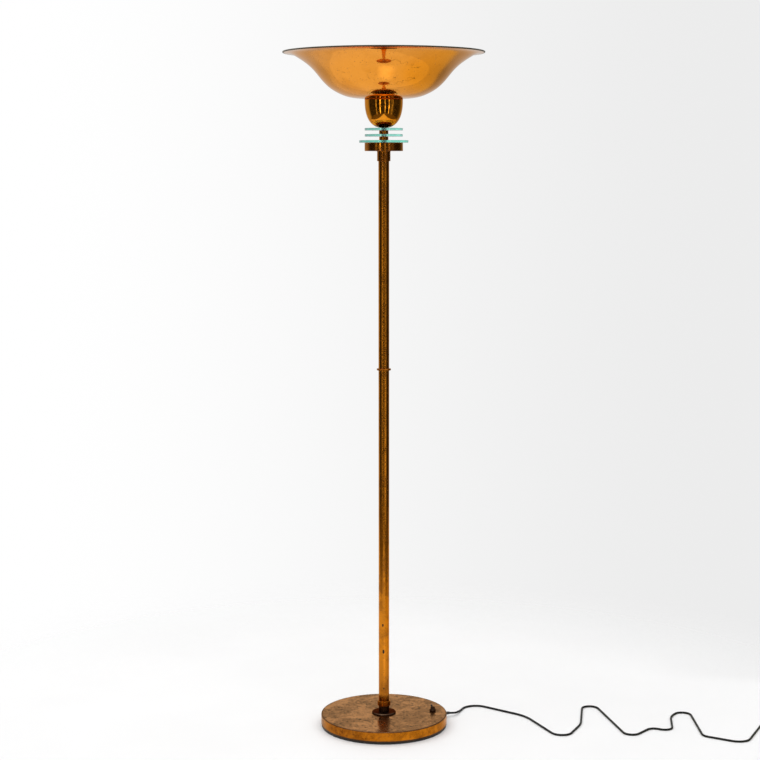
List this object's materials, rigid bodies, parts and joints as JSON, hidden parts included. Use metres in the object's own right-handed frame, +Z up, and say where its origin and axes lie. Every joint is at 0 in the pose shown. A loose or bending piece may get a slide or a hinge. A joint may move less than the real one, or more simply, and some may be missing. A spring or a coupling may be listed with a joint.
{
  "type": "torchiere floor lamp",
  "caption": "Free-standing uplighter floor lamp with a wide copper bowl, clear glass discs under a cup, a slim pole, a round weighted base and a mains lead.",
  "frame": {"origin": "centre of the base's underside, on the floor", "axes": "+Z up along the pole, +X towards the side where the mains lead leaves the base, -Y towards the viewer"},
  "size_m": [1.3754, 0.5198, 1.7799],
  "materials": {
    "polished_copper": "mirror polished and lacquered, with faint spinning lines",
    "aged_copper": "satin, mottled brown patina on top, brighter on the skirt",
    "dark_bronze": "darkened metal with a grey-green bloom",
    "zinc_steel": "zinc plated",
    "contact_brass": "pressed brass",
    "cast_iron": "rough casting",
    "clear_glass": "clear float glass with a teal edge",
    "bulb_glass": "frosted inside",
    "porcelain": "glazed",
    "black_plastic": "moulded",
    "black_rubber": "matte",
    "cord_black": "smooth vinyl with a soft shine"
  },
  "bodies": {
    "lamp": {"foot_pad": "black_rubber", "base_weight": "cast_iron", "base_cover": "aged_copper", "base_nut_washer": "zinc_steel", "base_nut": "zinc_steel", "foot_washer": "dark_bronze", "foot_neck": "dark_bronze", "foot_collar": "polished_copper", "lower_tube": "polished_copper", "lower_tube_plug": "zinc_steel", "base_rod": "zinc_steel", "joint_ring": "polished_copper", "tube_coupling": "zinc_steel", "upper_tube": "polished_copper", "upper_tube_plug": "zinc_steel", "top_collar": "polished_copper", "holder_plate": "dark_bronze", "holder_cap": "polished_copper", "glass_disc_large": "clear_glass", "spacer_lower": "polished_copper", "glass_disc_middle": "clear_glass", "spacer_upper": "polished_copper", "glass_disc_upper": "clear_glass", "cup": "polished_copper", "bowl_shade": "polished_copper", "bowl_washer": "zinc_steel", "bowl_nut": "zinc_steel", "head_rod": "zinc_steel", "lampholder_body": "porcelain", "lampholder_contact": "contact_brass", "lampholder_sleeve": "contact_brass", "bulb_cap": "zinc_steel", "bulb_glass": "bulb_glass", "switch_body": "black_plastic", "switch_bushing": "dark_bronze", "switch_nut": "dark_bronze", "cord_bushing": "black_rubber", "supply_lead": "black_rubber", "pole_lead": "black_rubber", "cord_run": "cord_black", "cord_coil": "cord_black", "cord_tail": "cord_black", "plug_body": "black_plastic", "plug_pin_left": "zinc_steel", "plug_pin_right": "zinc_steel"},
    "switch_lever": {"switch_lever": "black_plastic"}
  },
  "joints": [
    {"name": "switch_toggle", "type": "hinge", "parent": "lamp", "child": "switch_lever", "pos_m": [0.131, 0.012, 0.0385], "axis": [0, 1, 0], "range_deg": [0, 30]}
  ]
}
